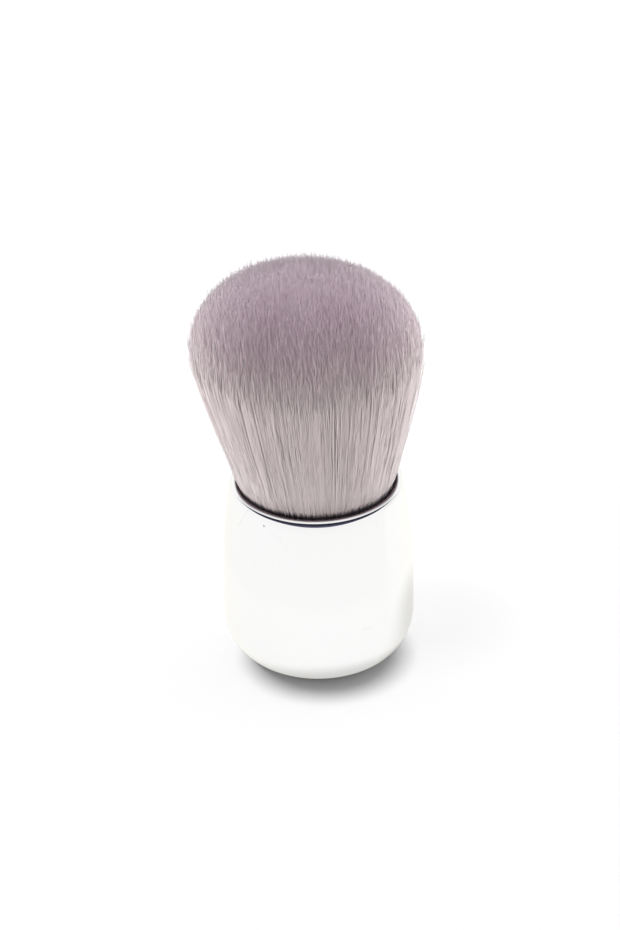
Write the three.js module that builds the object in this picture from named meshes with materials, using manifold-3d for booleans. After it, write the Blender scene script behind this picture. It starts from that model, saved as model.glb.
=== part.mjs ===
// A short nail dust brush: a weighted, silver-plated barrel handle with a rounded lip, an aluminium
// ferrule cup glued into its bore, and a domed head of soft synthetic bristle.
// Millimetres, +Z up. The origin is the centre of the flat base that the brush stands on.
import * as THREE from "three";
import { mergeVertices } from "three/addons/utils/BufferGeometryUtils.js";
import Module from "manifold-3d";

// Handle: a moulded barrel whose side draws in, shoulder by shoulder, to a rounded lip round the bore
const HANDLE_HEIGHT = 35.1; // base to the top of the lip
const BELLY_WALL = 3.35; // bore to the widest part of the barrel
const LIP_ROUND = 0.8; // radius over the top of the lip
const SHOULDER_ROUND = 3.1; // radius under the lip
const NECK_ROUND = 19.7; // radius between the shoulder and the side
const LIP_ANGLE = 28; // degrees that the surface faces up where the lip meets the shoulder
const SHOULDER_ANGLE = 13; // where the shoulder meets the neck
const SIDE_ANGLE = 6.7; // where the neck meets the side
const BASE_FLAT_RADIUS = 9.0; // the flat that it stands on
const BASE_ROUND_HEIGHT = 8.7; // the base swells to full width over this height
const BASE_FULLNESS = 2.2; // 2 is an ellipse, more is squarer
const FLOOR_THICKNESS = 3.0;
const FLOOR_FILLET = 1.2; // between the floor and the bore

// Ferrule: a drawn cup, glued into the bore with its rim below the lip
const FERRULE_BORE_RADIUS = 12.95;
const FERRULE_WALL = 0.5;
const FERRULE_HEIGHT = 16.0; // underside to rim
const FERRULE_CORNER = 1.4; // outer radius at the foot of the cup
const RIM_RECESS = 2.0; // rim below the top of the lip
const GLUE_LINE = 0.2; // radial room for glue, ferrule to bore and resin to ferrule

// Counterweight: a turned steel slug on a glue pad
const PAD_THICKNESS = 0.5;
const PAD_INSET = 1.0; // edge of the pad inside the foot of the slug
const WEIGHT_HEIGHT = 6.0;
const WEIGHT_CLEARANCE = 0.35; // radial, slug to bore
const WEIGHT_CHAMFER = 1.3;

// Bristle knot: rows of locks on concentric circles, each lock a bundle of fine filaments
const PLUG_HEIGHT = 4.5; // resin under the roots
const ROOT_SLICE_HEIGHT = 1.5; // resin that each group of roots is set in
const SLICE_GAP = 0.2; // between neighbouring slices
const BINDING_HEIGHT = 2.2; // thread wound round the roots
const BINDING_THICKNESS = 0.45;
const BINDING_CLEARANCE = 0.2; // thread to roots, and thread to ferrule
const BINDING_LIFT = 0.6; // thread above the root slices
const ROWS = 10; // circles of locks round the one in the middle
const LOCK_FILL = 0.68; // lock thickness as a share of the spacing
const LOCK_SIDES = 3;
const BOWED_ROWS = 2; // outer rows that follow the bulge of the head's sides
const RIM_GAP = 0.25; // outer locks to the ferrule's rim

// Head: how the locks spread above the ferrule and where their tips end
const HEAD_RADIUS = 20.05; // at the widest part of the head
const FLARE_HEIGHT = 27.2; // ferrule's rim to the widest part
const DOME_HEIGHT = 14.65; // widest part to the crown
const DOME_FULLNESS = 2.3; // 2 is an ellipse, more is squarer
const FLARE_BOW = 0.52; // how far the sides bulge from a straight cone
const TIP_STAGGER = 2.0; // height between the short, middle and long tips of the outermost row
const TIP_LENGTH = 5.5; // length over which a lock tapers to its point
const HEAD_LEAN = 1.9; // how far the crown leans towards -X

// Facets
const TURN_SEGMENTS = 48;
const SLICE_SEGMENTS = 24;
const BASE_STEPS = 9;
const SIDE_STEPS = 7;
const SHOULDER_STEPS = 2;
const LIP_STEPS = 4;
const CORNER_STEPS = 3;

// Sizes that follow from the ones above
const ferruleRadius = FERRULE_BORE_RADIUS + FERRULE_WALL;
const boreRadius = ferruleRadius + GLUE_LINE;
const handleRadius = boreRadius + BELLY_WALL;
const slugRadius = boreRadius - WEIGHT_CLEARANCE;
const slugFootRadius = slugRadius - WEIGHT_CHAMFER;
const knotRadius = FERRULE_BORE_RADIUS - BINDING_THICKNESS - 2 * BINDING_CLEARANCE;

const wasm = await Module();
wasm.setup();

// Materials
const platedSilver = new THREE.MeshStandardMaterial({ color: 0xf1f1f2, roughness: 0.06, metalness: 1 });
const drawnAluminium = new THREE.MeshStandardMaterial({ color: 0xe2e2e6, roughness: 0.12, metalness: 1 });
const turnedSteel = new THREE.MeshStandardMaterial({ color: 0x8d9095, roughness: 0.45, metalness: 1 });
const meltGlue = new THREE.MeshStandardMaterial({ color: 0xe6dcc4, roughness: 0.55, metalness: 0 });
const castResin = new THREE.MeshStandardMaterial({ color: 0xcdb98a, roughness: 0.3, metalness: 0 });
const cottonThread = new THREE.MeshStandardMaterial({ color: 0xece6da, roughness: 0.9, metalness: 0 });
const mauveBristle = new THREE.MeshStandardMaterial({ color: 0xb3a5aa, roughness: 0.7, metalness: 0 });

// Points of a profile are (radius, height)
function point(radius, height) {
  return new THREE.Vector2(radius, height);
}

// Points of a circular arc, without its first point, that leaves a start point where the surface faces
// fromAngle above level and ends where it faces toAngle
function arc(start, radius, fromAngle, toAngle, steps) {
  const facing = (angle) => point(radius, 0).rotateAround(point(0, 0), THREE.MathUtils.degToRad(angle));
  const centre = start.clone().sub(facing(fromAngle));
  const points = [];
  for (let step = 1; step <= steps; step++) {
    points.push(facing(fromAngle + ((toAngle - fromAngle) * step) / steps).add(centre));
  }
  return points;
}

// A profile turned about the Z axis, listed from the foot outwards, up and back to the axis
function revolve(profile, segments = TURN_SEGMENTS) {
  return new THREE.LatheGeometry(profile, segments).rotateX(Math.PI / 2);
}

function piece(name, geometry, material, height = 0) {
  const mesh = new THREE.Mesh(geometry, material);
  mesh.name = name;
  mesh.position.z = height;
  return mesh;
}

// Swelling base of the handle, from the edge of its flat to full width
function baseRound() {
  const points = [];
  for (let step = 1; step <= BASE_STEPS; step++) {
    const turn = (Math.PI / 2) * (step / BASE_STEPS);
    const out = Math.pow(Math.sin(turn), 2 / BASE_FULLNESS);
    const up = 1 - Math.pow(Math.max(Math.cos(turn), 0), 2 / BASE_FULLNESS);
    points.push(
      point(BASE_FLAT_RADIUS + (handleRadius - BASE_FLAT_RADIUS) * out, BASE_ROUND_HEIGHT * up),
    );
  }
  return points;
}

// Barrel handle: flat base, full round, tapering side, neck, shoulder, rounded lip and straight bore
function handleShell() {
  const lipTop = point(boreRadius + LIP_ROUND, HANDLE_HEIGHT);
  const lip = arc(lipTop, LIP_ROUND, 90, LIP_ANGLE, LIP_STEPS);
  const shoulder = arc(lip.at(-1), SHOULDER_ROUND, LIP_ANGLE, SHOULDER_ANGLE, SHOULDER_STEPS);
  const neck = arc(shoulder.at(-1), NECK_ROUND, SHOULDER_ANGLE, SIDE_ANGLE, SHOULDER_STEPS);
  const sideTop = neck.at(-1);
  const belly = point(handleRadius, BASE_ROUND_HEIGHT);
  const half = (sideTop.y - belly.y) / 2;
  const downSide = point(0, -half).rotateAround(point(0, 0), THREE.MathUtils.degToRad(SIDE_ANGLE));
  const side = new THREE.CubicBezierCurve(
    sideTop,
    sideTop.clone().add(downSide),
    belly.clone().add(point(0, half)),
    belly,
  );
  const outside = [...lip, ...shoulder, ...neck, ...side.getPoints(SIDE_STEPS).slice(1, -1)];
  const fillet = point(boreRadius, FLOOR_THICKNESS + FLOOR_FILLET);
  return revolve([
    point(0, 0),
    point(BASE_FLAT_RADIUS, 0),
    ...baseRound(),
    ...outside.reverse(),
    lipTop,
    ...arc(lipTop, LIP_ROUND, 90, 180, LIP_STEPS),
    fillet,
    ...arc(fillet, FLOOR_FILLET, 0, -90, CORNER_STEPS),
    point(0, FLOOR_THICKNESS),
  ]);
}

// Drawn cup, heights from its underside, with a round edge to its rim
function ferruleCup() {
  const foot = point(ferruleRadius - FERRULE_CORNER, 0);
  const rim = point(ferruleRadius, FERRULE_HEIGHT - FERRULE_WALL / 2);
  const innerCorner = Math.max(FERRULE_CORNER - FERRULE_WALL, FERRULE_WALL);
  const innerWall = point(FERRULE_BORE_RADIUS, FERRULE_WALL + innerCorner);
  return revolve([
    point(0, 0),
    foot,
    ...arc(foot, FERRULE_CORNER, -90, 0, CORNER_STEPS),
    rim,
    ...arc(rim, FERRULE_WALL / 2, 0, 180, CORNER_STEPS),
    innerWall,
    ...arc(innerWall, innerCorner, 0, -90, CORNER_STEPS),
    point(0, FERRULE_WALL),
  ]);
}

// Steel slug, chamfered at both ends
function counterweight() {
  return revolve([
    point(0, 0),
    point(slugFootRadius, 0),
    point(slugRadius, WEIGHT_CHAMFER),
    point(slugRadius, WEIGHT_HEIGHT - WEIGHT_CHAMFER),
    point(slugFootRadius, WEIGHT_HEIGHT),
    point(0, WEIGHT_HEIGHT),
  ]);
}

function disc(radius, height, segments) {
  return revolve([point(0, 0), point(radius, 0), point(radius, height), point(0, height)], segments);
}

// Resin cast in the foot of the cup, rounded to fit its corner
function rootPlug() {
  const radius = FERRULE_BORE_RADIUS - GLUE_LINE;
  const foot = point(radius - FERRULE_CORNER, 0);
  return revolve([
    point(0, 0),
    foot,
    ...arc(foot, FERRULE_CORNER, -90, 0, CORNER_STEPS),
    point(radius, PLUG_HEIGHT),
    point(0, PLUG_HEIGHT),
  ]);
}

function ring(innerRadius, outerRadius, height, segments) {
  const profile = [
    point(innerRadius, 0),
    point(outerRadius, 0),
    point(outerRadius, height),
    point(innerRadius, height),
    point(innerRadius, 0),
  ];
  return revolve(profile, segments);
}

// Heights in the head, above the inside of the cup's floor
const sliceBottom = PLUG_HEIGHT;
const sliceTop = sliceBottom + ROOT_SLICE_HEIGHT;
const bindingBottom = sliceTop + BINDING_LIFT;
const rimHeight = FERRULE_HEIGHT - FERRULE_WALL;
const bellyHeight = rimHeight + FLARE_HEIGHT;

// Thickness of a lock where the outermost row has a given radius, and that row's radius under a surface
const lockRadiusAt = (rowRadius) => (LOCK_FILL * rowRadius) / ROWS / 2;
const rowUnder = (surfaceRadius) => surfaceRadius / (1 + LOCK_FILL / (2 * ROWS));
const rootRow = rowUnder(knotRadius);
const rimRow = rowUnder(FERRULE_BORE_RADIUS - RIM_GAP);
const bellyRow = rowUnder(HEAD_RADIUS);

// Radius of the outermost row at a height: near upright in the cup, then flaring to the widest part
function spread(height) {
  if (height <= rimHeight) {
    return THREE.MathUtils.mapLinear(height, sliceTop, rimHeight, rootRow, rimRow);
  }
  const rise = Math.min((height - rimHeight) / FLARE_HEIGHT, 1);
  return rimRow + (bellyRow - rimRow) * rise + 4 * FLARE_BOW * rise * (1 - rise);
}

// Radius of the dome's surface at a height above the widest part
function domeRadius(height) {
  const rise = Math.min(Math.max((height - bellyHeight) / DOME_HEIGHT, 0), 1);
  return bellyRow * Math.pow(1 - Math.pow(rise, DOME_FULLNESS), 1 / DOME_FULLNESS);
}

// Centre of a lock at a height: its row's share of the spread, kept under the dome, with the head's lean
function lockCentre(row, turn, height) {
  const radius = Math.min((row / ROWS) * spread(height), domeRadius(height));
  const lean = (-HEAD_LEAN * Math.max(height - rimHeight, 0)) / (FLARE_HEIGHT + DOME_HEIGHT);
  return new THREE.Vector3(radius * Math.cos(turn) + lean, radius * Math.sin(turn), height);
}

// Tip height of a lock: on the dome for its row, with the outermost row's tips staggered up the dome
function tipHeight(row, number) {
  if (row === ROWS) return bellyHeight + TIP_STAGGER * (1 + (number % 3));
  const onDome = Math.pow(1 - Math.pow(row / ROWS, DOME_FULLNESS), 1 / DOME_FULLNESS);
  return bellyHeight + DOME_HEIGHT * onDome;
}

// Adds one tapering lock to the vertex and triangle lists, from inside its slice up to a point
function addLock(vertices, triangles, row, turn, number) {
  const tip = tipHeight(row, number);
  const bow = row > ROWS - BOWED_ROWS ? [(rimHeight + bellyHeight) / 2] : [];
  const stations = [(sliceBottom + sliceTop) / 2, rimHeight, ...bow, tip - TIP_LENGTH];
  const first = vertices.length / 3;
  for (const height of stations) {
    const centre = lockCentre(row, turn, height);
    const radius = lockRadiusAt(spread(height));
    for (let side = 0; side < LOCK_SIDES; side++) {
      const around = turn + (2 * Math.PI * side) / LOCK_SIDES;
      vertices.push(centre.x + radius * Math.cos(around), centre.y + radius * Math.sin(around), centre.z);
    }
  }
  vertices.push(...lockCentre(row, turn, tip).toArray());
  const apex = first + stations.length * LOCK_SIDES;
  for (let side = 0; side < LOCK_SIDES; side++) {
    const next = (side + 1) % LOCK_SIDES;
    for (let station = 0; station + 1 < stations.length; station++) {
      const low = first + station * LOCK_SIDES;
      const high = low + LOCK_SIDES;
      triangles.push(low + side, low + next, high + next, low + side, high + next, high + side);
    }
    const top = apex - LOCK_SIDES;
    triangles.push(top + side, top + next, apex);
    if (side > 1) triangles.push(first, first + side, first + side - 1);
  }
}

function toSolid(geometry) {
  const bare = geometry.clone();
  bare.deleteAttribute("normal");
  bare.deleteAttribute("uv");
  const merged = mergeVertices(bare);
  return new wasm.Manifold(
    new wasm.Mesh({
      numProp: 3,
      vertProperties: merged.attributes.position.array,
      triVerts: new Uint32Array(merged.index.array),
    }),
  );
}

function toGeometry(solid) {
  const mesh = solid.getMesh();
  return new THREE.BufferGeometry()
    .setAttribute("position", new THREE.BufferAttribute(mesh.vertProperties, mesh.numProp))
    .setIndex(new THREE.BufferAttribute(mesh.triVerts, 1))
    .toNonIndexed();
}

// A group of rows of locks, joined to the slice of resin that their roots are set in
function bristleGroup(firstRow, lastRow) {
  const vertices = [];
  const triangles = [];
  for (let row = firstRow; row <= lastRow; row++) {
    const count = Math.max(Math.floor(2 * Math.PI * row), 1);
    for (let number = 0; number < count; number++) {
      addLock(vertices, triangles, row, (2 * Math.PI * (number + (row % 2) / 2)) / count, number);
    }
  }
  const locks = new THREE.BufferGeometry()
    .setAttribute("position", new THREE.Float32BufferAttribute(vertices, 3))
    .setIndex(triangles);
  const between = (row) => ((row + 0.5) * rootRow) / ROWS;
  const inside = firstRow > 0 ? between(firstRow - 1) + SLICE_GAP / 2 : 0;
  const outside = lastRow < ROWS ? between(lastRow) - SLICE_GAP / 2 : knotRadius + BINDING_CLEARANCE;
  const slice =
    firstRow > 0
      ? ring(inside, outside, ROOT_SLICE_HEIGHT, SLICE_SEGMENTS)
      : disc(outside, ROOT_SLICE_HEIGHT, SLICE_SEGMENTS);
  return toGeometry(toSolid(locks).add(toSolid(slice.translate(0, 0, sliceBottom))));
}

// Assembly
const brush = new THREE.Group();

const handle = new THREE.Group();
handle.add(
  piece("handle_shell", handleShell(), platedSilver),
  piece("weight_pad", disc(slugFootRadius - PAD_INSET, PAD_THICKNESS), meltGlue, FLOOR_THICKNESS),
  piece("counterweight", counterweight(), turnedSteel, FLOOR_THICKNESS + PAD_THICKNESS),
);
brush.add(handle);

const ferrule = new THREE.Group();
ferrule.position.z = HANDLE_HEIGHT - RIM_RECESS - FERRULE_HEIGHT;
ferrule.add(piece("ferrule_cup", ferruleCup(), drawnAluminium));
brush.add(ferrule);

const knot = new THREE.Group();
knot.position.z = FERRULE_WALL;
const bindingInside = knotRadius + BINDING_CLEARANCE;
const binding = ring(bindingInside, bindingInside + BINDING_THICKNESS, BINDING_HEIGHT);
knot.add(
  piece("root_plug", rootPlug(), castResin),
  piece("knot_binding", binding, cottonThread, bindingBottom),
);
const rowGroups = { core: [0, 4], inner: [5, 6], middle: [7, 8], outer: [9, ROWS] };
for (const [name, [firstRow, lastRow]] of Object.entries(rowGroups)) {
  knot.add(piece(`bristles_${name}`, bristleGroup(firstRow, lastRow), mauveBristle));
}
ferrule.add(knot);

export default brush;
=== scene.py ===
import math

import bpy
from mathutils import Matrix, Vector


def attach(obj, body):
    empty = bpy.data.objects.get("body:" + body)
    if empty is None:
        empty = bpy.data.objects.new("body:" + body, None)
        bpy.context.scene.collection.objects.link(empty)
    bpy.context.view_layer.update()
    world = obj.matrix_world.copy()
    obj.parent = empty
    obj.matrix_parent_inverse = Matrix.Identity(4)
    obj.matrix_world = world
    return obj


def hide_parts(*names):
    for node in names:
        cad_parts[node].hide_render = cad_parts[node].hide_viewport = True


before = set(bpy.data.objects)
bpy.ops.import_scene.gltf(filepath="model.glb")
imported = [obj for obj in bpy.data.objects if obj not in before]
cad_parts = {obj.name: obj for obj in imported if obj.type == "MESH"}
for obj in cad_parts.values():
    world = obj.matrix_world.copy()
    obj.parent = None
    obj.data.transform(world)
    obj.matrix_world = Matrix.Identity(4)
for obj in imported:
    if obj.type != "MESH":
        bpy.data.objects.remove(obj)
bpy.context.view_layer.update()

MM = 0.001
FULL_TURN = 2 * math.pi

# Handle, in millimetres and degrees: a turned barrel that draws in to a rounded lip round its bore
HANDLE_HEIGHT = 35.1
HANDLE_RADIUS = 17.0
BORE_RADIUS = 13.65
LIP_ROUND = 0.8
SHOULDER_ROUND = 3.1
NECK_ROUND = 19.7
LIP_ANGLE = 28
SHOULDER_ANGLE = 13
SIDE_ANGLE = 6.7
BASE_FLAT_RADIUS = 9.0
BASE_ROUND_HEIGHT = 8.7
BASE_FULLNESS = 2.2
FLOOR_THICKNESS = 3.0
FLOOR_FILLET = 1.2

# Steps along each stretch of the handle's profile, and round it
LIP_STEPS = 12
SHOULDER_STEPS = 8
NECK_STEPS = 8
SIDE_STEPS = 32
BASE_STEPS = 40
FILLET_STEPS = 6
TURN_SEGMENTS = 192

# Bristle head, in millimetres
ROOT_HEIGHT = 22.1
SLICE_TOP = 23.6
KNOT_RADIUS = 12.1
RIM_HEIGHT = 33.1
RIM_RADIUS = 12.75
HEAD_RADIUS = 20.0
FLARE_HEIGHT = 27.2
FLARE_BOW = 0.52
MOUTH_SWELL = 0.4
MOUTH_SWELL_HEIGHT = 8.0
DOME_HEIGHT = 14.65
DOME_FULLNESS = 2.3
HEAD_LEAN = 1.9
BELLY_HEIGHT = RIM_HEIGHT + FLARE_HEIGHT

# Packed inside of the head, in millimetres, the steps of its profile, and its tone, lowered as
# painted shade deep among the filaments
HEART_INSET = 1.5
RESIN_MARGIN = 0.2
HEART_SIDE_STEPS = 12
HEART_DOME_STEPS = 15
HEART_SEGMENTS = 64
HEART_SHADE_TONE = 0.2

# Filaments: how they gather in locks, and in millimetres how their tips end and how far they stray
LOCKS_ROUND = 130
LOCK_LAYERS = 26.0
LOCK_DRIFT = 9.0
LOCK_GATHER = 0.22
LAYER_SHIFT = 3.0
LAYER_NUMBERS = 1013.0
LOCK_BULGE = 0.2
LOCK_UNEVEN = 0.2
SHORT_LEAST = 0.6
SHORT_SPREAD = 0.8
PROUD_MEAN = 0.34
PROUD_MOST = 1.9
TIP_TAPER = 2.8
TIP_WIDTH = 0.14
WAVE_DEPTH = 0.3
FAR_STRAY = 0.9
NEAR_STRAY = 0.28
FREE_RISE = 0.35

# Tones of the filaments, the top of their map, and how far their normals lean to the head's form
TONES = 64
MAP_HEADROOM = 1.5
SOFTNESS = 3.0


# Node trees

class Field:
    """A socket of a node tree that can be added, multiplied and so on like a number."""

    def __init__(self, tree, socket):
        self.tree = tree
        self.socket = socket

    def math(self, operation, *others):
        node = self.tree.nodes.new("ShaderNodeMath")
        node.operation = operation
        for socket, value in zip(node.inputs, (self, *others)):
            feed(self.tree, socket, value)
        return Field(self.tree, node.outputs[0])

    def __add__(self, other):
        return self.math("ADD", other)

    def __sub__(self, other):
        return self.math("SUBTRACT", other)

    def __rsub__(self, other):
        return (self * -1.0) + other

    def __mul__(self, other):
        return self.math("MULTIPLY", other)

    def __truediv__(self, other):
        return self.math("DIVIDE", other)

    def __pow__(self, other):
        return self.math("POWER", other)

    __radd__ = __add__
    __rmul__ = __mul__

    def clamp(self):
        """Held between 0 and 1."""
        return self.math("MAXIMUM", 0.0).math("MINIMUM", 1.0)

    def step(self, low, high):
        """Rises smoothly from 0 at low to 1 at high."""
        return add(
            self.tree,
            "ShaderNodeMapRange",
            {0: self, 1: low, 2: high, 3: 0.0, 4: 1.0},
            interpolation_type="SMOOTHSTEP",
        )


def feed(tree, socket, value):
    if isinstance(value, Field):
        tree.links.new(value.socket, socket)
    else:
        socket.default_value = value


def add(tree, kind, inputs=None, out=0, **settings):
    """Adds a node, sets its settings and inputs, and gives one of its outputs as a Field."""
    node = tree.nodes.new(kind)
    for name, value in settings.items():
        setattr(node, name, value)
    for name, value in (inputs or {}).items():
        feed(tree, node.inputs[name], value)
    return Field(tree, node.outputs[out])


def vector(tree, x, y, z):
    return add(tree, "ShaderNodeCombineXYZ", {0: x, 1: y, 2: z})


def vector_math(tree, operation, *values, out=0, **named):
    """A sum on vectors. Output 0 is a vector, and output 1 a number."""
    inputs = {**dict(enumerate(values)), **named}
    return add(tree, "ShaderNodeVectorMath", inputs, out=out, operation=operation)


def axes(tree, field):
    node = tree.nodes.new("ShaderNodeSeparateXYZ")
    feed(tree, node.inputs[0], field)
    return [Field(tree, socket) for socket in node.outputs]


def from_axis(x, y):
    return (x * x + y * y).math("SQRT")


def noise(tree, place, scale, detail=2.0, roughness=0.5, **more):
    inputs = {"Vector": place, "Scale": scale, "Detail": detail, "Roughness": roughness, **more}
    return add(tree, "ShaderNodeTexNoise", inputs)


def hashed(tree, number):
    """A value between 0 and 1 that looks random and is always the same for the same number."""
    return add(tree, "ShaderNodeTexWhiteNoise", {"W": number}, noise_dimensions="1D")


def blend(tree, share, first, second):
    """Mixes two colours."""
    node = tree.nodes.new("ShaderNodeMix")
    node.data_type = "RGBA"
    feed(tree, node.inputs[0], share)
    feed(tree, node.inputs[6], first)
    feed(tree, node.inputs[7], second)
    return Field(tree, node.outputs[2])


def grey(value):
    return (value, value, value, 1.0)


def material(name):
    """A new node material: its tree, its Principled shader and the piece's own coordinates."""
    made = bpy.data.materials.new(name)
    made.use_nodes = True
    tree = made.node_tree
    shader = tree.nodes["Principled BSDF"]
    place = add(tree, "ShaderNodeTexCoord", out=3)
    return made, tree, shader, place


def bump(tree, shader, height, distance, strength=1.0):
    inputs = {"Strength": strength, "Distance": distance, "Height": height}
    feed(tree, shader.inputs["Normal"], add(tree, "ShaderNodeBump", inputs))


def link(name, data):
    """A new object in the scene."""
    made = bpy.data.objects.new(name, data)
    bpy.context.scene.collection.objects.link(made)
    return made


# Finishes

SILVER_WARM = (0.958, 0.954, 0.942, 1.0)
SILVER_COOL = (0.942, 0.943, 0.948, 1.0)
SILVER_EDGE = (1.0, 0.99, 0.94, 1.0)
SILVER_ROUGHNESS = 0.035
SMEAR_ROUGHNESS = 0.05
HAIRLINE_DARK = 0.012

# Painted reflection on the lip, of the shaded bristles that it faces: its colour, how far out from
# the bore it ends, in rounds of the lip, how much further that is on the near side, what counts as
# near, and the heights where it begins
LIP_PAINTED_REFLECTION = (0.22, 0.185, 0.21, 1.0)
LIP_REFLECTION_END = (0.5, 1.05)
LIP_REFLECTION_NEAR = 0.8
LIP_NEAR_SIDE = (-0.1, 0.6)
LIP_REFLECTION_HEIGHTS = (20.0, 30.0)

# Wear on the plating, in millimetres: from, to, half width and how dark
WEAR = (
    ((-13.73, -8.16, 30.27), (-12.03, -9.46, 34.32), 0.24, 0.06),
    ((-9.31, -12.54, 32.95), (-9.27, -12.58, 32.89), 0.27, 0.5),
    ((7.4, -15.27, 12.61), (8.82, -14.51, 12.49), 0.22, 0.05),
    ((-7.9, -13.7, 31.9), (-6.6, -14.4, 31.1), 0.9, 0.012),
    ((-5.6, -15.0, 30.2), (-5.2, -15.1, 29.2), 0.4, 0.015),
    ((12.2, 10.9, 27.5), (13.6, 9.0, 25.1), 0.2, 0.05),
    ((-3.1, 16.6, 15.4), (1.4, 16.9, 13.9), 0.2, 0.05),
)


def scratch(tree, place, start, end, width):
    """1 along a straight mark between two places on a surface, and 0 away from it."""
    start, end = Vector(start) * MM, Vector(end) * MM
    along = end - start
    off = vector_math(tree, "SUBTRACT", place, start)
    share = vector_math(tree, "DOT_PRODUCT", off, along / along.length_squared, out=1).clamp()
    nearest = vector_math(tree, "SCALE", along, Scale=share)
    gap = vector_math(tree, "DISTANCE", off, nearest, out=1)
    return 1.0 - gap.step(width * 0.3 * MM, width * MM)


def plated_silver():
    """Mirror plating over moulded plastic: a faint ripple, hairline scratches, wear and a painted
    reflection of the bristles on the lip.
    """
    made, tree, shader, place = material("plated_silver")
    shader.inputs["Metallic"].default_value = 1.0
    shader.inputs["Specular Tint"].default_value = SILVER_EDGE
    film = noise(tree, place, scale=60.0, detail=3.0)
    colour = blend(tree, film, SILVER_WARM, SILVER_COOL)

    # Painted reflection: towards the bore the lip is painted dark like the shaded bristles that it
    # faces, and further out towards -Y
    x, y, z = axes(tree, place)
    radius = from_axis(x, y) / MM
    near = (y / MM / radius * -1.0).step(*LIP_NEAR_SIDE)
    past_bore = (radius - BORE_RADIUS) / LIP_ROUND - near * LIP_REFLECTION_NEAR
    above_floor = (z / MM).step(*LIP_REFLECTION_HEIGHTS)
    painted_reflection = above_floor * (1.0 - past_bore.step(*LIP_REFLECTION_END))
    colour = blend(tree, painted_reflection, colour, LIP_PAINTED_REFLECTION)

    swept = vector(tree, x + z * 0.3, y - z * 0.2, z * 0.06)
    worn = noise(tree, swept, scale=900.0, detail=1.0).step(0.7, 0.76) * HAIRLINE_DARK
    for start, end, width, dark in WEAR:
        worn = worn + scratch(tree, place, start, end, width) * dark
    feed(tree, shader.inputs["Base Color"], blend(tree, worn, colour, grey(0.0)))
    smears = noise(tree, place, scale=140.0, detail=4.0, roughness=0.6).step(0.45, 0.75)
    feed(tree, shader.inputs["Roughness"], smears * SMEAR_ROUGHNESS + SILVER_ROUGHNESS)
    ripple = noise(tree, place, scale=320.0)
    bump(tree, shader, ripple, distance=0.02 * MM, strength=0.25)
    return made


ALUMINIUM_DARK = (0.78, 0.78, 0.8, 1.0)
ALUMINIUM_LIGHT = (0.88, 0.88, 0.9, 1.0)


def drawn_aluminium():
    """Plain drawn aluminium with fine lines round the cup."""
    made, tree, shader, place = material("drawn_aluminium")
    shader.inputs["Metallic"].default_value = 1.0
    x, y, z = axes(tree, place)
    lines = noise(tree, vector(tree, x * 0.05, y * 0.05, z), scale=9000.0, detail=3.0)
    feed(tree, shader.inputs["Base Color"], blend(tree, lines, ALUMINIUM_DARK, ALUMINIUM_LIGHT))
    feed(tree, shader.inputs["Roughness"], lines * 0.15 + 0.22)
    bump(tree, shader, lines, distance=0.01 * MM, strength=0.4)
    return made


STEEL_PLAIN = (0.55, 0.565, 0.585, 1.0)
STEEL_DULL = (0.4, 0.39, 0.38, 1.0)


def turned_steel():
    """Plain steel with the rings that a lathe tool leaves and a few dull spots."""
    made, tree, shader, place = material("turned_steel")
    shader.inputs["Metallic"].default_value = 1.0
    x, y, z = axes(tree, place)
    rings = noise(tree, vector(tree, from_axis(x, y), 0.0, z), scale=6000.0)
    spots = noise(tree, place, scale=500.0, detail=4.0).step(0.55, 0.7)
    feed(tree, shader.inputs["Base Color"], blend(tree, spots, STEEL_PLAIN, STEEL_DULL))
    feed(tree, shader.inputs["Roughness"], rings * 0.2 + 0.32)
    bump(tree, shader, rings, distance=0.02 * MM, strength=0.5)
    return made


GLUE_DEEP = (0.82, 0.77, 0.66, 1.0)
GLUE_PALE = (0.92, 0.89, 0.81, 1.0)


def melt_glue():
    """Cream hot-melt glue, cloudy and slightly lumpy."""
    made, tree, shader, place = material("melt_glue")
    cloud = noise(tree, place, scale=350.0, detail=4.0)
    feed(tree, shader.inputs["Base Color"], blend(tree, cloud, GLUE_DEEP, GLUE_PALE))
    feed(tree, shader.inputs["Roughness"], cloud * 0.25 + 0.4)
    bump(tree, shader, cloud, distance=0.2 * MM, strength=0.4)
    return made


RESIN_DARK = (0.7, 0.6, 0.4, 1.0)
RESIN_LIGHT = (0.84, 0.77, 0.6, 1.0)


def cast_resin():
    """Amber cast resin with darker swirls and small bubbles."""
    made, tree, shader, place = material("cast_resin")
    swirl = noise(tree, place, scale=260.0, detail=3.0, Distortion=1.5)
    feed(tree, shader.inputs["Base Color"], blend(tree, swirl, RESIN_DARK, RESIN_LIGHT))
    bubbles = add(tree, "ShaderNodeTexVoronoi", {"Vector": place, "Scale": 1500.0})
    feed(tree, shader.inputs["Roughness"], swirl * 0.2 + 0.2)
    bump(tree, shader, bubbles.step(0.05, 0.2), distance=0.1 * MM, strength=0.5)
    return made


# Thread: a painted shade for the grooves between turns, and the thread's own colour
THREAD_PAINTED_SHADE = (0.7, 0.66, 0.6, 1.0)
THREAD_LIGHT = (0.94, 0.92, 0.88, 1.0)
THREAD_PITCH = 0.45


def cotton_thread():
    """Thread wound round and round, one turn on the next, with painted shade in the grooves between
    turns.
    """
    made, tree, shader, place = material("cotton_thread")
    x, y, z = axes(tree, place)
    turn = y.math("ARCTAN2", x) / FULL_TURN
    wound = (z / (THREAD_PITCH * MM) + turn).math("FRACT")
    height = (wound * math.pi).math("SINE")
    fuzz = noise(tree, place, scale=4000.0, detail=3.0)
    # Painted shade: darker down in the grooves between turns, lighter on their crowns, with fuzz
    lit = (height * 0.6 + fuzz * 0.4).clamp()
    feed(tree, shader.inputs["Base Color"], blend(tree, lit, THREAD_PAINTED_SHADE, THREAD_LIGHT))
    feed(tree, shader.inputs["Roughness"], fuzz * 0.2 + 0.75)
    bump(tree, shader, height + fuzz * 0.3, distance=0.2 * MM, strength=0.8)
    return made


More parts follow.
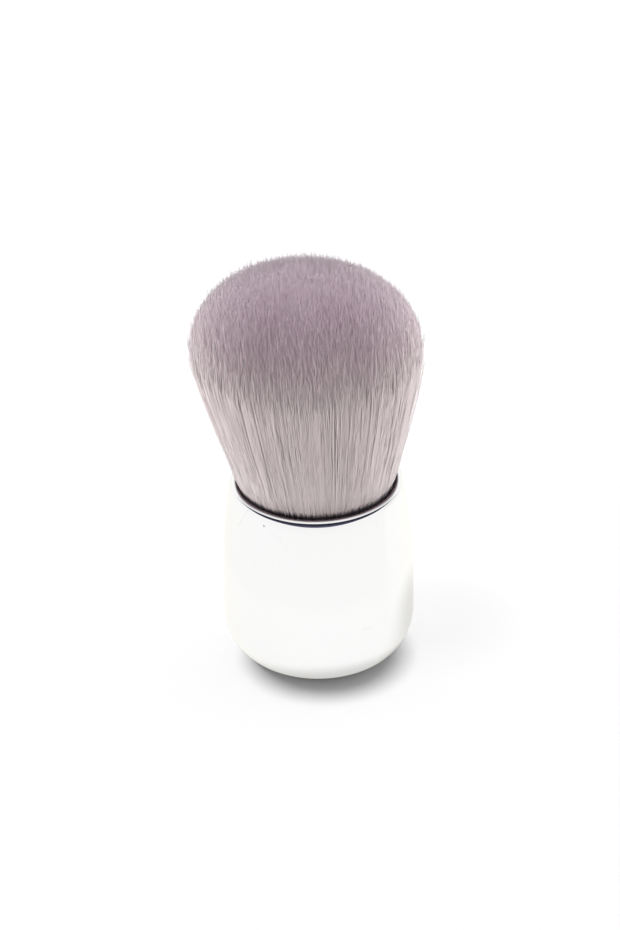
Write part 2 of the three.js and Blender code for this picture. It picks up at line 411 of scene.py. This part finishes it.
BEIGE_LOW = (0.905, 0.765, 0.76, 1.0)
BEIGE_HIGH = (0.94, 0.777, 0.782, 1.0)
MAUVE_LOW = (0.712, 0.497, 0.602, 1.0)
MAUVE_HIGH = (0.6, 0.418, 0.514, 1.0)
ROOT_PAINTED_SHADE = (0.05, 0.042, 0.05, 1.0)
BRISTLE_SHEEN = (1.0, 0.91, 0.95, 1.0)

# Heights in millimetres: where the dye of the tips and the painted shade of the roots end, how far
# that varies from filament to filament, and how softly
DIP_HEIGHT, DIP_SPREAD, DIP_SOFTNESS = 66.6, 10.0, 4.6
ROOT_SHADE_HEIGHT, ROOT_SHADE_SPREAD, ROOT_SHADE_SOFTNESS = 35.6, 0.9, 0.6

# Heights over which the beige and the mauve change, and over which the painted shade near the mouth
# lifts
BEIGE_HEIGHTS = (35.0, 54.0)
MAUVE_HEIGHTS = (62.0, 74.0)
MOUTH_HEIGHTS = (35.0, 40.0)
MOUTH_SHADE = 0.25

# Around where the dye ends some filaments are darker: from how far below to how far above, how
# softly and how dark
DYE_BELOW, DYE_ABOVE, DYE_SOFTNESS, DYE_DARK = 2.5, 1.0, 1.5, 0.12

# Brightness of the filaments, and how much it differs among plain and among dyed ones
BRISTLE_LEVEL = 0.97
PLAIN_CONTRAST = 0.3
DYED_CONTRAST = 0.05


def mauve_bristle():
    """Fine filament, beige-grey with dipped mauve tips and painted shade at the roots, no two quite
    alike.
    """
    made, tree, shader, place = material("mauve_bristle")
    height = axes(tree, place)[2] / MM
    tone = add(tree, "ShaderNodeAttribute", attribute_name="tone", out=2)

    def chance(number):
        return hashed(tree, tone * 97.0 + number)

    def past(edge, soft):
        return height.step(edge - soft, edge + soft)

    edge = DIP_HEIGHT + (chance(0.0) - 0.5) * DIP_SPREAD
    dipped = past(edge, DIP_SOFTNESS)
    dye_end = past(edge - DYE_BELOW, DYE_SOFTNESS) * (1.0 - past(edge + DYE_ABOVE, DYE_SOFTNESS))
    dye_end = dye_end * chance(9.0) ** 2.0
    # Painted shade: under the lip's top the roots are painted near black, and up to 40 mm a quarter
    # darker
    root_end = ROOT_SHADE_HEIGHT + (chance(5.0) - 0.5) * ROOT_SHADE_SPREAD
    out_of_mouth = height.step(*MOUTH_HEIGHTS) * MOUTH_SHADE + (1 - MOUTH_SHADE)
    out_of_shade = past(root_end, ROOT_SHADE_SOFTNESS) * out_of_mouth
    beige = blend(tree, height.step(*BEIGE_HEIGHTS), BEIGE_LOW, BEIGE_HIGH)
    mauve = blend(tree, height.step(*MAUVE_HEIGHTS), MAUVE_LOW, MAUVE_HIGH)
    colour = blend(tree, out_of_shade, ROOT_PAINTED_SHADE, blend(tree, dipped, beige, mauve))
    contrast = PLAIN_CONTRAST - dipped * (PLAIN_CONTRAST - DYED_CONTRAST)
    shade = (tone - 0.5) * contrast + BRISTLE_LEVEL - dye_end * DYE_DARK
    feed(tree, shader.inputs["Base Color"], vector_math(tree, "SCALE", colour, Scale=shade))
    feed(tree, shader.inputs["Roughness"], dipped * 0.15 + 0.55)
    shader.inputs["Specular IOR Level"].default_value = 0.25
    shader.inputs["Subsurface Weight"].default_value = 0.42
    shader.inputs["Subsurface Radius"].default_value = (1.0, 1.0, 1.0)
    shader.inputs["Subsurface Scale"].default_value = 0.2 * MM
    shader.inputs["Sheen Weight"].default_value = 0.9
    shader.inputs["Sheen Roughness"].default_value = 0.4
    shader.inputs["Sheen Tint"].default_value = BRISTLE_SHEEN
    return made


def looked_at(tree):
    """Two fields: 1 where the camera looks, straight or by way of metal or glass, and 1 where it
    looks only by way of those. Both are 0 for light on its way round."""
    path = tree.nodes.new("ShaderNodeLightPath")
    camera, glossy, through, bounced = (
        Field(tree, path.outputs[name])
        for name in ("Is Camera Ray", "Is Glossy Ray", "Is Transmission Ray", "Diffuse Depth")
    )
    seen = (camera + glossy + through).clamp() * (1.0 - bounced.clamp())
    return seen, seen * (1.0 - camera)


# Floor, in millimetres: its tone, how far off it counts as far, and what counts as beside the base
FLOOR_TONE = 0.3
FLOOR_FAR = (70.0, 500.0)
BESIDE_X = (8.0, 20.0)
BESIDE_Y = (-18.0, -2.0)

# Painted shade on the floor at the right: its middle in metres, its reach in millimetres, its tint,
# and how deep it is in the metal, in the glow of the floor and in its lit part
PAINTED_SHADE_PLACE = (0.02, 0.008, 0.0)
PAINTED_SHADE_REACH = (5.0, 22.0)
PAINTED_SHADE_TINT = (0.96, 0.955, 1.0, 1.0)
PAINTED_SHADE_GLOW = 0.3
PAINTED_SHADE_LIT = 0.2

# The floor in the metal: how much of it is lit, not glowing, close by and beside the base, how much
# brighter that part is, and its glow, which drops a little from one distance to another
CLOSE_LIT = 0.4
BESIDE_LIT = 0.4
LIT_LIFT = 0.1
METAL_GLOW = 0.995
METAL_GLOW_DROP = 0.03
METAL_DROP_RANGE = (40.0, 52.0)

# The floor's own glow to the camera: close by, and what the distance adds
CAMERA_GLOW = 0.065
CAMERA_GLOW_FAR = 0.7


def white_floor():
    """White to the camera and in the metal. It keeps the shadow and has a painted shade at the
    right of the base.
    """
    made, tree, shader, place = material("white_floor")
    seen, mirrored = looked_at(tree)
    x, y, _ = axes(tree, place)
    away = from_axis(x, y) / MM
    far = away.step(*FLOOR_FAR)
    beside = (x / MM).step(*BESIDE_X) * (y / MM).step(*BESIDE_Y)
    # Painted shade: a soft, faintly blue patch at the right of the base, on the floor and in the
    # metal
    from_painted_shade = vector_math(tree, "DISTANCE", place, PAINTED_SHADE_PLACE, out=1)
    painted_shade = 1.0 - from_painted_shade.step(PAINTED_SHADE_REACH[0] * MM, PAINTED_SHADE_REACH[1] * MM)

    # In the metal most of the floor's white is its own glow, less so close by and beside the base
    plain = mirrored * ((1.0 - far) * -CLOSE_LIT + 1.0 - beside * BESIDE_LIT)
    lit = FLOOR_TONE * (1.0 - plain) * (mirrored * LIT_LIFT + 1.0)
    lit = lit * (1.0 - mirrored * painted_shade * PAINTED_SHADE_LIT)
    feed(tree, shader.inputs["Base Color"], vector(tree, lit, lit, lit))
    shader.inputs["Roughness"].default_value = 0.9
    shader.inputs["Specular IOR Level"].default_value = 0.0
    metal_glow = METAL_GLOW - away.step(*METAL_DROP_RANGE) * METAL_GLOW_DROP
    in_metal = plain * metal_glow * (1.0 - painted_shade * PAINTED_SHADE_GLOW)
    straight = (seen - mirrored) * (far * CAMERA_GLOW_FAR + CAMERA_GLOW - painted_shade * CAMERA_GLOW)
    feed(tree, shader.inputs["Emission Strength"], in_metal + straight)
    feed(tree, shader.inputs["Emission Color"], blend(tree, painted_shade, grey(1.0), PAINTED_SHADE_TINT))
    return made


# Shapes

def arc(start, radius, from_angle, to_angle, steps):
    """Points of an arc, without its first, from where the surface faces from_angle above level."""
    def facing(angle):
        return Vector((math.cos(math.radians(angle)), math.sin(math.radians(angle)))) * radius
    centre = start - facing(from_angle)
    sweep = to_angle - from_angle
    return [centre + facing(from_angle + sweep * i / steps) for i in range(1, steps + 1)]


def handle_profile():
    """(radius, height) from the middle of the base out, up to the lip and down to the floor."""
    lip_top = Vector((BORE_RADIUS + LIP_ROUND, HANDLE_HEIGHT))
    lip = arc(lip_top, LIP_ROUND, 90, LIP_ANGLE, LIP_STEPS)
    shoulder = arc(lip[-1], SHOULDER_ROUND, LIP_ANGLE, SHOULDER_ANGLE, SHOULDER_STEPS)
    neck = arc(shoulder[-1], NECK_ROUND, SHOULDER_ANGLE, SIDE_ANGLE, NECK_STEPS)
    top, belly = neck[-1], Vector((HANDLE_RADIUS, BASE_ROUND_HEIGHT))
    half = (top.y - belly.y) / 2
    lean = math.radians(SIDE_ANGLE)
    down_side = Vector((math.sin(lean), -math.cos(lean)))
    pulls = [top, top + down_side * half, belly + Vector((0, half)), belly]
    side = []
    for i in range(1, SIDE_STEPS):
        t = i / SIDE_STEPS
        weights = [(1 - t) ** 3, 3 * t * (1 - t) ** 2, 3 * t * t * (1 - t), t ** 3]
        side.append(sum((p * w for p, w in zip(pulls, weights)), Vector((0, 0))))
    base = []
    for i in range(1, BASE_STEPS + 1):
        turn = math.pi / 2 * i / BASE_STEPS
        out = math.sin(turn) ** (2 / BASE_FULLNESS)
        up = 1 - max(math.cos(turn), 0.0) ** (2 / BASE_FULLNESS)
        radius = BASE_FLAT_RADIUS + (HANDLE_RADIUS - BASE_FLAT_RADIUS) * out
        base.append(Vector((radius, BASE_ROUND_HEIGHT * up)))
    fillet = Vector((BORE_RADIUS, FLOOR_THICKNESS + FLOOR_FILLET))
    return [
        Vector((0, 0)),
        Vector((BASE_FLAT_RADIUS / 2, 0)),
        Vector((BASE_FLAT_RADIUS, 0)),
        *base,
        *(lip + shoulder + neck + side)[::-1],
        lip_top,
        *arc(lip_top, LIP_ROUND, 90, 180, LIP_STEPS),
        fillet,
        *arc(fillet, FLOOR_FILLET, 0, -90, FILLET_STEPS),
        Vector((0, FLOOR_THICKNESS)),
    ]


def turned(name, profile, segments, finish):
    """A closed body turned about Z from a profile that starts and ends on the axis."""
    points, rings, faces = [], [], []
    for radius, height in profile:
        if radius < 1e-6:
            rings.append([len(points)] * segments)
            points.append((0.0, 0.0, height * MM))
            continue
        rings.append([len(points) + i for i in range(segments)])
        for i in range(segments):
            turn = FULL_TURN * i / segments
            points.append((radius * math.cos(turn) * MM, radius * math.sin(turn) * MM, height * MM))
    for low, high in zip(rings, rings[1:]):
        for i in range(segments):
            j = (i + 1) % segments
            corners = [low[i], low[j], high[j], high[i]]
            faces.append(list(dict.fromkeys(corners)))
    mesh = bpy.data.meshes.new(name)
    mesh.from_pydata(points, [], faces)
    mesh.polygons.foreach_set("use_smooth", [True] * len(mesh.polygons))
    mesh.materials.append(finish)
    return link(name, mesh)


def spread(height):
    """Radius of the head's side, in millimetres, at a height in millimetres."""
    if height <= RIM_HEIGHT:
        rise = (height - SLICE_TOP) / (RIM_HEIGHT - SLICE_TOP)
        return KNOT_RADIUS + (RIM_RADIUS - KNOT_RADIUS) * rise
    rise = min((height - RIM_HEIGHT) / FLARE_HEIGHT, 1.0)
    return RIM_RADIUS + (HEAD_RADIUS - RIM_RADIUS) * rise + 4 * FLARE_BOW * rise * (1 - rise)


def lean_at(height):
    return -HEAD_LEAN * max(height - RIM_HEIGHT, 0.0) / (FLARE_HEIGHT + DOME_HEIGHT)


def bristle_heart(finish):
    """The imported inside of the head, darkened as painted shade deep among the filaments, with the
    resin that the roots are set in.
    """
    resin = KNOT_RADIUS + RESIN_MARGIN
    profile = [(0, ROOT_HEIGHT), (resin, ROOT_HEIGHT), (resin, SLICE_TOP)]
    for i in range(HEART_SIDE_STEPS + 1):
        height = SLICE_TOP + (BELLY_HEIGHT - SLICE_TOP) * i / HEART_SIDE_STEPS
        profile.append((spread(height) - HEART_INSET, height))
    for i in range(1, HEART_DOME_STEPS):
        turn = math.pi / 2 * i / HEART_DOME_STEPS
        out = math.cos(turn) ** (2 / DOME_FULLNESS)
        up = math.sin(turn) ** (2 / DOME_FULLNESS)
        height = BELLY_HEIGHT + (DOME_HEIGHT - HEART_INSET) * up
        profile.append(((HEAD_RADIUS - HEART_INSET) * out, height))
    profile.append((0, BELLY_HEIGHT + DOME_HEIGHT - HEART_INSET))
    piece = turned("bristle_heart", profile, HEART_SEGMENTS, finish)
    for point in piece.data.vertices:
        point.co.x += lean_at(point.co.z / MM) * MM
    tone = piece.data.attributes.new("tone", "FLOAT", "POINT")
    tone.data.foreach_set("value", [HEART_SHADE_TONE] * len(piece.data.vertices))
    return piece


BRISTLE_INPUTS = {
    "Strands": "NodeSocketInt",
    "Segments": "NodeSocketInt",
    "Seed": "NodeSocketInt",
    "Inner Share": "NodeSocketFloat",
    "Outer Share": "NodeSocketFloat",
    "First Turn": "NodeSocketFloat",
    "Last Turn": "NodeSocketFloat",
    "Length": "NodeSocketFloat",
    "Tip Crowding": "NodeSocketFloat",
    "Thickness": "NodeSocketFloat",
    "Map Foot": "NodeSocketFloat",
}


def store(tree, geometry, name, value, data_type, domain="POINT"):
    """Keeps a value on the geometry under a name."""
    inputs = {"Geometry": geometry, "Name": name, "Value": value}
    return add(tree, "GeometryNodeStoreNamedAttribute", inputs, data_type=data_type, domain=domain)


def stored(tree, name, data_type):
    return add(tree, "GeometryNodeInputNamedAttribute", {"Name": name}, data_type=data_type)


def bristle_tree(finish):
    """The rule of the head: strands that flare from the mouth, gather in locks and end on the
    dome. Sizes are in millimetres until the place is set."""
    tree = bpy.data.node_groups.new("bristle_rows", "GeometryNodeTree")
    tree.interface.new_socket("Bristles", in_out="OUTPUT", socket_type="NodeSocketGeometry")
    for label, kind in BRISTLE_INPUTS.items():
        tree.interface.new_socket(label, in_out="INPUT", socket_type=kind)
    group = tree.nodes.new("NodeGroupInput")
    given = {label: Field(tree, group.outputs[label]) for label in BRISTLE_INPUTS}

    points = add(tree, "GeometryNodePoints", {"Count": given["Strands"]})
    points = store(tree, points, "strand", add(tree, "GeometryNodeInputIndex"), "INT")
    shape = add(tree, "GeometryNodeMeshCone", {
        "Vertices": 3,
        "Side Segments": given["Segments"],
        "Radius Top": 1.0,
        "Radius Bottom": 1.0,
        "Depth": 1.0,
    })
    strands = add(tree, "GeometryNodeInstanceOnPoints", {"Points": points, "Instance": shape})
    strands = add(tree, "GeometryNodeRealizeInstances", {"Geometry": strands})
    strand = stored(tree, "strand", "INT")

    def chance(low, high, draw):
        """A random value for each strand. The draw's number tells one from another."""
        inputs = {2: low, 3: high, 7: strand, 8: given["Seed"] * 20 + draw}
        return add(tree, "FunctionNodeRandomValue", inputs, out=1, data_type="FLOAT")

    x, y, along = axes(tree, add(tree, "GeometryNodeInputPosition"))

    # Where the strand stands, and the lock that it belongs to
    inner, outer = given["Inner Share"], given["Outer Share"]
    share = chance(inner * inner, outer * outer, 1).math("SQRT")
    turn = chance(given["First Turn"], given["Last Turn"], 2)
    rim_place = vector(tree, turn.math("COSINE"), turn.math("SINE"), share * 2.0)
    drift = noise(tree, rim_place, scale=9.0, detail=3.0) - 0.5
    layer = (share * LOCK_LAYERS + chance(0.0, 0.6, 3)).math("FLOOR")
    lock_place = (turn * (LOCKS_ROUND / FULL_TURN) + drift * LOCK_DRIFT
                  + hashed(tree, layer) * LAYER_SHIFT)
    lock = lock_place.math("FLOOR") + layer * LAYER_NUMBERS
    to_middle = (0.5 - lock_place.math("FRACT")) * (FULL_TURN / LOCKS_ROUND)

    # Heights: the tip is near the dome, most a little short of it and a few proud
    on_dome = (1.0 - share ** DOME_FULLNESS).clamp() ** (1 / DOME_FULLNESS)
    short = chance(0.0, 1.0, 4) ** 2.0 * SHORT_SPREAD + SHORT_LEAST
    proud = chance(0.0, 1.0, 5).math("LOGARITHM", math.e) * -PROUD_MEAN
    proud = proud.math("MINIMUM", PROUD_MOST)
    uneven = (hashed(tree, lock + 0.3) - 0.5) * LOCK_UNEVEN
    tip = on_dome * DOME_HEIGHT + BELLY_HEIGHT - short + proud + uneven
    root = (tip - given["Length"]).math("MAXIMUM", (ROOT_HEIGHT + SLICE_TOP) / 2)
    climb = 1.0 - (1.0 - along).clamp() ** given["Tip Crowding"]
    height = root + (tip - root) * climb

    # Radius: near upright in the ferrule, then flaring over its rim
    rise = ((height - RIM_HEIGHT) / FLARE_HEIGHT).clamp()
    low = ((height - SLICE_TOP) / (RIM_HEIGHT - SLICE_TOP)).clamp()
    swell = ((height - RIM_HEIGHT) / MOUTH_SWELL_HEIGHT).clamp()
    side = (low * (RIM_RADIUS - KNOT_RADIUS) + KNOT_RADIUS
            + rise * (HEAD_RADIUS - RIM_RADIUS)
            + rise * (1.0 - rise) * (4 * FLARE_BOW)
            + swell * (1.0 - swell) * (4 * MOUTH_SWELL))
    free = rise.step(0.0, FREE_RISE)
    bulge = (hashed(tree, lock + 0.7) - 0.6) * LOCK_BULGE * free
    far_stray = chance(0.0, 1.0, 6) ** 30.0 * FAR_STRAY
    near_stray = chance(0.0, 1.0, 9) ** 5.0 * NEAR_STRAY
    stray = (far_stray + near_stray) * free * climb
    wave_place = vector(tree, chance(0.0, 50.0, 7), height * 0.09, lock * 0.37)
    curl_place = vector(tree, chance(0.0, 50.0, 10), height * 0.22, 0.0)
    long_wave = noise(tree, wave_place, scale=1.0, detail=1.0) - 0.5
    curl = noise(tree, curl_place, scale=1.0, detail=1.0) - 0.5
    wave = (long_wave + curl * 0.5) * free
    radius = share * side + bulge + stray + wave * WAVE_DEPTH
    gather = (rise * (1.0 - rise) * 4.0).clamp() * LOCK_GATHER
    angle = turn + to_middle * gather + wave / (radius + 1.0)

    # Cross section: full thickness, closing to a fine tip
    taper = ((tip - height) / TIP_TAPER).clamp() * (1 - TIP_WIDTH) + TIP_WIDTH
    thin = given["Thickness"] * 0.5 * taper
    radial = radius + x * thin
    across = y * thin
    above_rim = (height - RIM_HEIGHT).math("MAXIMUM", 0.0)
    lean = above_rim * (-HEAD_LEAN / (FLARE_HEIGHT + DOME_HEIGHT))
    east, north = angle.math("COSINE"), angle.math("SINE")
    place = vector(
        tree,
        (radial * east - across * north + lean) * MM,
        (radial * north + across * east) * MM,
        height * MM,
    )

    # Tone: half the lock's own and half the filament's, with a map that has a column for each tone
    tone = hashed(tree, lock + 0.1) * 0.5 + chance(0.0, 1.0, 8) * 0.5
    column = (tone * TONES).math("FLOOR").math("MINIMUM", TONES - 1.0)
    across_map = (column + 0.5 + y * 0.35) / TONES
    map_foot = given["Map Foot"]
    map_top = BELLY_HEIGHT + DOME_HEIGHT + MAP_HEADROOM
    up_map = ((height - map_foot) / (map_top - map_foot)).clamp()
    strands = store(tree, strands, "tone", (column + 0.5) / TONES, "FLOAT")
    on_map = vector(tree, across_map, up_map, 0.0)
    strands = store(tree, strands, "OFBake", on_map, "FLOAT2", "CORNER")

    # Normals: partly the filament's own, and mostly those of the whole head
    dome_bend = DOME_FULLNESS - 1
    form_up = ((height - BELLY_HEIGHT) / DOME_HEIGHT).clamp() ** dome_bend / DOME_HEIGHT
    form_up = form_up - (1.0 - rise) * 0.2 / HEAD_RADIUS
    form_out = (radius / HEAD_RADIUS).clamp() ** dome_bend / HEAD_RADIUS
    form = vector(tree, east * form_out, north * form_out, form_up)
    form = vector_math(tree, "NORMALIZE", form)
    tube = vector(tree, x * east - y * north, x * north + y * east, 0.0)
    facing = vector_math(tree, "MULTIPLY_ADD", form, (SOFTNESS, SOFTNESS, SOFTNESS), tube)
    facing = vector_math(tree, "NORMALIZE", facing)
    strands = store(tree, strands, "facing", facing, "FLOAT_VECTOR")

    strands = add(tree, "GeometryNodeSetPosition", {"Geometry": strands, "Position": place})
    strands = add(tree, "GeometryNodeSetShadeSmooth", {"Geometry": strands, "Shade Smooth": True})
    normals = {"Mesh": strands, "Custom Normal": stored(tree, "facing", "FLOAT_VECTOR")}
    strands = add(tree, "GeometryNodeSetMeshNormal", normals, mode="FREE", domain="POINT")
    for spare in ("strand", "facing"):
        strands = add(tree, "GeometryNodeRemoveAttribute", {"Geometry": strands, "Name": spare})
    strands = add(tree, "GeometryNodeSetMaterial", {"Geometry": strands, "Material": finish})
    out = tree.nodes.new("NodeGroupOutput")
    feed(tree, out.inputs[0], strands)
    return tree


def bristles(name, tree, **sizes):
    """One piece of the head: the tree run with these sizes and kept as a plain mesh."""
    holder = link(name + "_rule", bpy.data.meshes.new(name + "_rule"))
    modifier = holder.modifiers.new("bristles", "NODES")
    modifier.node_group = tree
    for item in tree.interface.items_tree:
        if item.in_out == "INPUT":
            modifier[item.identifier] = sizes[item.name.lower().replace(" ", "_")]
    graph = bpy.context.evaluated_depsgraph_get()
    mesh = bpy.data.meshes.new_from_object(
        holder.evaluated_get(graph),
        preserve_all_data_layers=True,
        depsgraph=graph,
    )
    bpy.data.objects.remove(holder)
    mesh.name = name
    return link(name, mesh)


# Camera, at the photograph's angle: degrees above level and of roll, then metres and millimetres

CAMERA_RISE = 31.1
CAMERA_ROLL = -1.275
CAMERA_DISTANCE = 0.6
CAMERA_TARGET = (-1.088, 0.0, 37.47)
CAMERA_LENS = 132.2
CAMERA_SENSOR = 36.0


def make_camera():
    rise, roll = math.radians(CAMERA_RISE), math.radians(CAMERA_ROLL)
    target = Vector(CAMERA_TARGET) * MM
    back = Vector((0.0, -math.cos(rise), math.sin(rise)))
    right = Vector((1.0, 0.0, 0.0))
    up = back.cross(right)
    turned_right = right * math.cos(roll) + up * math.sin(roll)
    turned_up = up * math.cos(roll) - right * math.sin(roll)
    data = bpy.data.cameras.new("camera")
    data.lens = CAMERA_LENS
    data.sensor_width = CAMERA_SENSOR
    data.sensor_fit = "AUTO"
    camera = link("camera", data)
    turn = Matrix((turned_right, turned_up, back)).transposed().to_4x4()
    camera.matrix_world = Matrix.Translation(target + back * CAMERA_DISTANCE) @ turn
    bpy.context.scene.camera = camera


make_camera()

# Pieces

silver = plated_silver()
bristle = mauve_bristle()

handle = turned("handle", handle_profile(), TURN_SEGMENTS, silver)
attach(handle, "root")
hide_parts("handle_shell")

heart = bristle_heart(bristle)
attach(heart, "root")
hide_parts("bristles_core", "bristles_inner", "bristles_middle", "bristles_outer")

# Filaments of the inner rows, of which little more than the tips is seen, and of the outer row
SHORT = dict(segments=2, length=40.0, tip_crowding=3.7, thickness=0.13, map_foot=21.0)
LONG = dict(segments=10, length=100.0, tip_crowding=1.3, thickness=0.15, map_foot=21.0)

# Rows: piece, node, strands in each sector, shares of the radius, sectors and the filament's sizes
ROWS = (
    ("tips_core", "bristles_core", 7400, 0.0, 0.45, 2, SHORT),
    ("tips_inner", "bristles_inner", 8000, 0.45, 0.65, 2, SHORT),
    ("tips_middle", "bristles_middle", 14000, 0.65, 0.9, 2, SHORT),
    ("strands_outer", "bristles_outer", 3100, 0.9, 1.0, 5, LONG),
)
THIN = 1.0

rule = bristle_tree(bristle)
seed = 0
for label, node, count, inner, outer, sectors, filament in ROWS:
    for sector in range(sectors):
        seed += 1
        first = FULL_TURN * sector / sectors
        piece = bristles(
            f"{label}_{sector + 1}",
            rule,
            strands=int(count * THIN),
            seed=seed,
            inner_share=inner,
            outer_share=outer,
            first_turn=first,
            last_turn=first + FULL_TURN / sectors,
            **filament,
        )
        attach(piece, "root")
        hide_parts(node)

for node, finish in {
    "ferrule_cup": drawn_aluminium(),
    "counterweight": turned_steel(),
    "weight_pad": melt_glue(),
    "root_plug": cast_resin(),
    "knot_binding": cotton_thread(),
}.items():
    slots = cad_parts[node].data.materials
    slots.clear()
    slots.append(finish)


# Stage and light

FLOOR_REACH = 3.0


def panel(name, reach, finish):
    corners = [(-reach, -reach, 0), (reach, -reach, 0), (reach, reach, 0), (-reach, reach, 0)]
    mesh = bpy.data.meshes.new(name)
    mesh.from_pydata(corners, [], [(0, 1, 2, 3)])
    mesh.materials.append(finish)
    sheet = link(name, mesh)
    return sheet


floor = panel("floor", FLOOR_REACH, white_floor())

# Light of the room: level all round, and what the sides, the back and the top add to it
ROOM_LEVEL = 1.08
SIDES_ADD = 1.5
BACK_ADDS = 0.38
TOP_ADDS = -0.38

# The dark side of the room, a band between two slopes: its colours, the slope of its top and of
# its bottom, the degrees from the front over which they change, and how soft its edges are
NAVY_LOW = (0.11, 0.11, 0.18, 1.0)
NAVY_HIGH = (0.025, 0.025, 0.04, 1.0)
NAVY_SLOPES = (0.0, 0.3)
NAVY_PATCHES = 0.15
BAND_TOP_BACK = 0.03
BAND_TOP_ADDS = 0.52
BAND_TOP_TURN = (65.0, 150.0)
BAND_TOP_EDGE = 0.06
BAND_BOTTOM_SIDE = 0.12
BAND_BOTTOM_TURN = (5.0, 62.0)
BAND_BOTTOM_EDGE = (-0.015, 0.005)


def make_world():
    world = bpy.data.worlds.new("white_room")
    bpy.context.scene.world = world
    world.use_nodes = True
    tree = world.node_tree
    seen, mirrored = looked_at(tree)
    across, behind, overhead = axes(tree, add(tree, "ShaderNodeTexCoord", out=0))
    light = across * across * SIDES_ADD + behind * BACK_ADDS + overhead * TOP_ADDS + ROOM_LEVEL

    # Only the metal shows the dark side of the room, a band above the horizon, tallest in front.
    # The turn is in degrees from the front, and the slope is that of the line of sight.
    slope = overhead / from_axis(across, behind)
    turn = across.math("ARCTAN2", behind * -1.0).math("ABSOLUTE") * (180 / math.pi)
    top = (1.0 - turn.step(*BAND_TOP_TURN)) * BAND_TOP_ADDS + BAND_TOP_BACK
    bottom = turn.step(*BAND_BOTTOM_TURN) * BAND_BOTTOM_SIDE
    above = slope.step(bottom + BAND_BOTTOM_EDGE[0], bottom + BAND_BOTTOM_EDGE[1])
    dark = above * (1.0 - slope.step(top - BAND_TOP_EDGE, top))
    patches = noise(tree, vector(tree, across, behind, overhead), scale=12.0, detail=3.0) - 0.5
    shade = (slope + patches * NAVY_PATCHES).step(*NAVY_SLOPES)
    navy = blend(tree, shade, NAVY_LOW, NAVY_HIGH)
    back = tree.nodes["Background"]
    feed(tree, back.inputs["Color"], blend(tree, dark * mirrored, grey(1.0), navy))
    feed(tree, back.inputs["Strength"], light + seen * (1.0 - light))


make_world()

LAMP_AIM = Vector((0.0, 0.0, 0.03))


def soft_box(name, place, size, power):
    """A round lamp, in metres and watts, that the metal doesn't show."""
    data = bpy.data.lights.new(name, "AREA")
    data.shape = "DISK"
    data.size = size
    data.energy = power
    lamp = link(name, data)
    lamp.location = place
    lamp.rotation_euler = (LAMP_AIM - Vector(place)).to_track_quat("-Z", "Y").to_euler()
    lamp.visible_glossy = False
    return lamp


soft_box("soft_box", place=(0.12, 0.25, 0.9), size=0.6, power=0.4)

# This lamp lights the floor alone, and only the metal inside the handle stands in its way
floor_light = soft_box("floor_light", place=(-0.035, 0.115, 1.0), size=0.18, power=20.5)
lit = bpy.data.collections.new("floor_only")
lit.objects.link(floor)
blocking = bpy.data.collections.new("metal_core")
for node in ("counterweight", "ferrule_cup"):
    blocking.objects.link(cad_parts[node])
floor_light.light_linking.receiver_collection = lit
floor_light.light_linking.blocker_collection = blocking

bpy.context.scene.view_settings.view_transform = "Standard"
